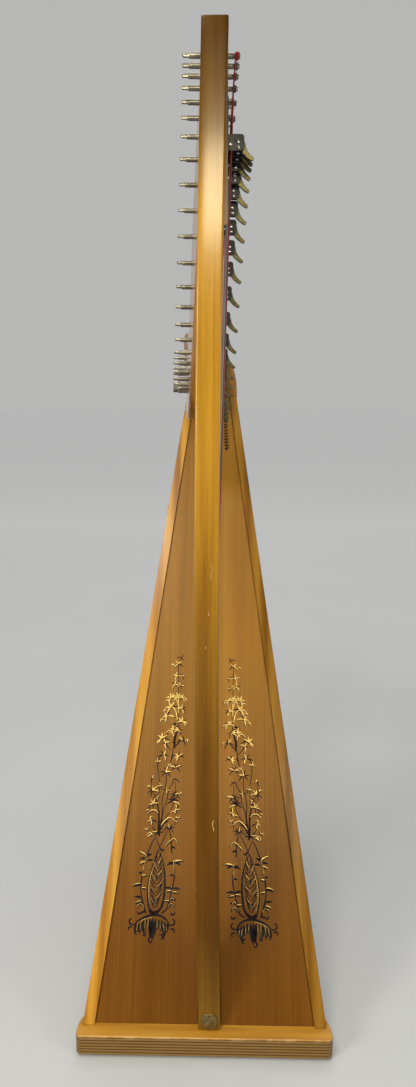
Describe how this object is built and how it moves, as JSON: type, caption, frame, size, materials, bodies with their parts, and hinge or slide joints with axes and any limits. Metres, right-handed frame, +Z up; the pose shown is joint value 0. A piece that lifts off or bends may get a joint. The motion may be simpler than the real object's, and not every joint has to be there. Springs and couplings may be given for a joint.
{
  "type": "lever harp",
  "caption": "Free-standing lever harp with straight pillar, curved neck, tapered soundbox, strings, tuning pins and flip-up sharping levers on a flat base board.",
  "frame": {"origin": "on the floor under the middle of the harp's footprint box", "axes": "+Z up, -Y towards the pillar and the viewer who faces the pillar, +Y along the neck to the shoulder, +X the side of the strings and levers"},
  "size_m": [0.4248, 0.709, 1.5603],
  "materials": {
    "pillar_wood": "gloss varnish",
    "frame_wood": "gloss varnish",
    "soundboard_wood": "satin varnish",
    "base_plywood": "worn satin varnish",
    "inner_wood": "raw",
    "string_steel": "aged",
    "steel": "satin",
    "lever_brass": "dull",
    "medallion_brass": "aged",
    "glide_rubber": "matte",
    "string_nylon": "translucent",
    "string_red": "translucent",
    "string_black": "satin",
    "black_enamel": "gloss",
    "ornament_gilt": "gilt",
    "ornament_ink": "satin"
  },
  "bodies": {
    "root": {"base_board": "base_plywood", "glide_front_left": "glide_rubber", "glide_front_right": "glide_rubber", "glide_rear_left": "glide_rubber", "glide_rear_right": "glide_rubber", "pillar": "pillar_wood", "medallion": "medallion_brass", "medallion_nail_upper": "steel", "medallion_nail_lower": "steel", "pillar_bolt": "steel", "soundboard": "soundboard_wood", "rim_left": "frame_wood", "rim_right": "frame_wood", "side_left": "frame_wood", "side_right": "frame_wood", "back_panel": "frame_wood", "bottom_block": "inner_wood", "inner_string_rib": "inner_wood", "liner_left": "inner_wood", "liner_right": "inner_wood", "back_brace_lower": "inner_wood", "back_brace_middle": "inner_wood", "back_brace_upper": "inner_wood", "shoulder_block": "frame_wood", "shoulder_bolt": "steel", "neck": "frame_wood", "strings_and_hardware": "string_steel"},
    "lever_01": {"lever_01": "lever_brass"},
    "lever_02": {"lever_02": "lever_brass"},
    "lever_03": {"lever_03": "lever_brass"},
    "lever_04": {"lever_04": "lever_brass"},
    "lever_05": {"lever_05": "lever_brass"},
    "lever_06": {"lever_06": "lever_brass"},
    "lever_07": {"lever_07": "lever_brass"},
    "lever_08": {"lever_08": "lever_brass"},
    "lever_09": {"lever_09": "lever_brass"},
    "lever_10": {"lever_10": "lever_brass"},
    "lever_11": {"lever_11": "lever_brass"},
    "lever_12": {"lever_12": "lever_brass"},
    "lever_13": {"lever_13": "lever_brass"},
    "lever_14": {"lever_14": "lever_brass"},
    "lever_15": {"lever_15": "lever_brass"},
    "lever_16": {"lever_16": "lever_brass"},
    "lever_17": {"lever_17": "lever_brass"},
    "lever_18": {"lever_18": "lever_brass"},
    "lever_19": {"lever_19": "lever_brass"},
    "lever_20": {"lever_20": "lever_brass"},
    "lever_21": {"lever_21": "lever_brass"},
    "lever_22": {"lever_22": "lever_brass"},
    "lever_23": {"lever_23": "lever_brass"},
    "lever_24": {"lever_24": "lever_brass"},
    "lever_25": {"lever_25": "lever_brass"},
    "lever_26": {"lever_26": "lever_brass"},
    "lever_27": {"lever_27": "lever_brass"},
    "lever_28": {"lever_28": "lever_brass"},
    "lever_29": {"lever_29": "lever_brass"},
    "lever_30": {"lever_30": "lever_brass"},
    "lever_31": {"lever_31": "lever_brass"},
    "lever_32": {"lever_32": "lever_brass"},
    "lever_33": {"lever_33": "lever_brass"}
  },
  "joints": [
    {"name": "lever_01_flip", "type": "hinge", "parent": "root", "child": "lever_01", "pos_m": [0.04723, -0.27287, 1.424], "axis": [0.05, -0.9988, 0], "range_deg": [0, 95]},
    {"name": "lever_02_flip", "type": "hinge", "parent": "root", "child": "lever_02", "pos_m": [0.04638, -0.25646, 1.42121], "axis": [0.0544, -0.9985, 0], "range_deg": [0, 95]},
    {"name": "lever_03_flip", "type": "hinge", "parent": "root", "child": "lever_03", "pos_m": [0.04541, -0.24003, 1.41754], "axis": [0.0643, -0.9979, 0], "range_deg": [0, 95]},
    {"name": "lever_04_flip", "type": "hinge", "parent": "root", "child": "lever_04", "pos_m": [0.04434, -0.22375, 1.41023], "axis": [0.0676, -0.9977, 0], "range_deg": [0, 95]},
    {"name": "lever_05_flip", "type": "hinge", "parent": "root", "child": "lever_05", "pos_m": [0.04316, -0.20747, 1.39688], "axis": [0.0777, -0.997, 0], "range_deg": [0, 95]},
    {"name": "lever_06_flip", "type": "hinge", "parent": "root", "child": "lever_06", "pos_m": [0.04176, -0.19115, 1.37919], "axis": [0.0945, -0.9955, 0], "range_deg": [0, 95]},
    {"name": "lever_07_flip", "type": "hinge", "parent": "root", "child": "lever_07", "pos_m": [0.04003, -0.17478, 1.35819], "axis": [0.1165, -0.9932, 0], "range_deg": [0, 95]},
    {"name": "lever_08_flip", "type": "hinge", "parent": "root", "child": "lever_08", "pos_m": [0.03799, -0.15853, 1.33419], "axis": [0.131, -0.9914, 0], "range_deg": [0, 95]},
    {"name": "lever_09_flip", "type": "hinge", "parent": "root", "child": "lever_09", "pos_m": [0.03581, -0.14247, 1.30698], "axis": [0.1354, -0.9908, 0], "range_deg": [0, 95]},
    {"name": "lever_10_flip", "type": "hinge", "parent": "root", "child": "lever_10", "pos_m": [0.03366, -0.12656, 1.27681], "axis": [0.1347, -0.9909, 0], "range_deg": [0, 95]},
    {"name": "lever_11_flip", "type": "hinge", "parent": "root", "child": "lever_11", "pos_m": [0.03143, -0.11063, 1.24099], "axis": [0.1416, -0.9899, 0], "range_deg": [0, 95]},
    {"name": "lever_12_flip", "type": "hinge", "parent": "root", "child": "lever_12", "pos_m": [0.02918, -0.09489, 1.20193], "axis": [0.1399, -0.9902, 0], "range_deg": [0, 95]},
    {"name": "lever_13_flip", "type": "hinge", "parent": "root", "child": "lever_13", "pos_m": [0.02705, -0.0793, 1.16826], "axis": [0.1289, -0.9917, 0], "range_deg": [0, 95]},
    {"name": "lever_14_flip", "type": "hinge", "parent": "root", "child": "lever_14", "pos_m": [0.0251, -0.06366, 1.1439], "axis": [0.1202, -0.9927, 0], "range_deg": [0, 95]},
    {"name": "lever_15_flip", "type": "hinge", "parent": "root", "child": "lever_15", "pos_m": [0.02332, -0.0481, 1.12493], "axis": [0.1067, -0.9943, 0], "range_deg": [0, 95]},
    {"name": "lever_16_flip", "type": "hinge", "parent": "root", "child": "lever_16", "pos_m": [0.02174, -0.03256, 1.10837], "axis": [0.0965, -0.9953, 0], "range_deg": [0, 95]},
    {"name": "lever_17_flip", "type": "hinge", "parent": "root", "child": "lever_17", "pos_m": [0.02025, -0.01695, 1.09295], "axis": [0.0945, -0.9955, 0], "range_deg": [0, 95]},
    {"name": "lever_18_flip", "type": "hinge", "parent": "root", "child": "lever_18", "pos_m": [0.01879, -0.00139, 1.08015], "axis": [0.0929, -0.9957, 0], "range_deg": [0, 95]},
    {"name": "lever_19_flip", "type": "hinge", "parent": "root", "child": "lever_19", "pos_m": [0.01737, 0.01409, 1.07001], "axis": [0.0895, -0.996, 0], "range_deg": [0, 95]},
    {"name": "lever_20_flip", "type": "hinge", "parent": "root", "child": "lever_20", "pos_m": [0.01602, 0.02949, 1.06098], "axis": [0.0845, -0.9964, 0], "range_deg": [0, 95]},
    {"name": "lever_21_flip", "type": "hinge", "parent": "root", "child": "lever_21", "pos_m": [0.01477, 0.04482, 1.05305], "axis": [0.0779, -0.997, 0], "range_deg": [0, 95]},
    {"name": "lever_22_flip", "type": "hinge", "parent": "root", "child": "lever_22", "pos_m": [0.01364, 0.06009, 1.04745], "axis": [0.069, -0.9976, 0], "range_deg": [0, 95]},
    {"name": "lever_23_flip", "type": "hinge", "parent": "root", "child": "lever_23", "pos_m": [0.01265, 0.07533, 1.045], "axis": [0.0607, -0.9982, 0], "range_deg": [0, 95]},
    {"name": "lever_24_flip", "type": "hinge", "parent": "root", "child": "lever_24", "pos_m": [0.01178, 0.09058, 1.04588], "axis": [0.0545, -0.9985, 0], "range_deg": [0, 95]},
    {"name": "lever_25_flip", "type": "hinge", "parent": "root", "child": "lever_25", "pos_m": [0.01098, 0.10586, 1.04884], "axis": [0.0494, -0.9988, 0], "range_deg": [0, 95]},
    {"name": "lever_26_flip", "type": "hinge", "parent": "root", "child": "lever_26", "pos_m": [0.01026, 0.12119, 1.05308], "axis": [0.0452, -0.999, 0], "range_deg": [0, 95]},
    {"name": "lever_27_flip", "type": "hinge", "parent": "root", "child": "lever_27", "pos_m": [0.00959, 0.13659, 1.05822], "axis": [0.042, -0.9991, 0], "range_deg": [0, 95]},
    {"name": "lever_28_flip", "type": "hinge", "parent": "root", "child": "lever_28", "pos_m": [0.00895, 0.15214, 1.06406], "axis": [0.0396, -0.9992, 0], "range_deg": [0, 95]},
    {"name": "lever_29_flip", "type": "hinge", "parent": "root", "child": "lever_29", "pos_m": [0.00835, 0.16781, 1.07175], "axis": [0.0364, -0.9993, 0], "range_deg": [0, 95]},
    {"name": "lever_30_flip", "type": "hinge", "parent": "root", "child": "lever_30", "pos_m": [0.00782, 0.18342, 1.08256], "axis": [0.0316, -0.9995, 0], "range_deg": [0, 95]},
    {"name": "lever_31_flip", "type": "hinge", "parent": "root", "child": "lever_31", "pos_m": [0.00735, 0.19906, 1.09445], "axis": [0.0288, -0.9996, 0], "range_deg": [0, 95]},
    {"name": "lever_32_flip", "type": "hinge", "parent": "root", "child": "lever_32", "pos_m": [0.00691, 0.21491, 1.10641], "axis": [0.0269, -0.9996, 0], "range_deg": [0, 95]},
    {"name": "lever_33_flip", "type": "hinge", "parent": "root", "child": "lever_33", "pos_m": [0.00649, 0.2309, 1.11926], "axis": [0.0256, -0.9997, 0], "range_deg": [0, 95]}
  ]
}
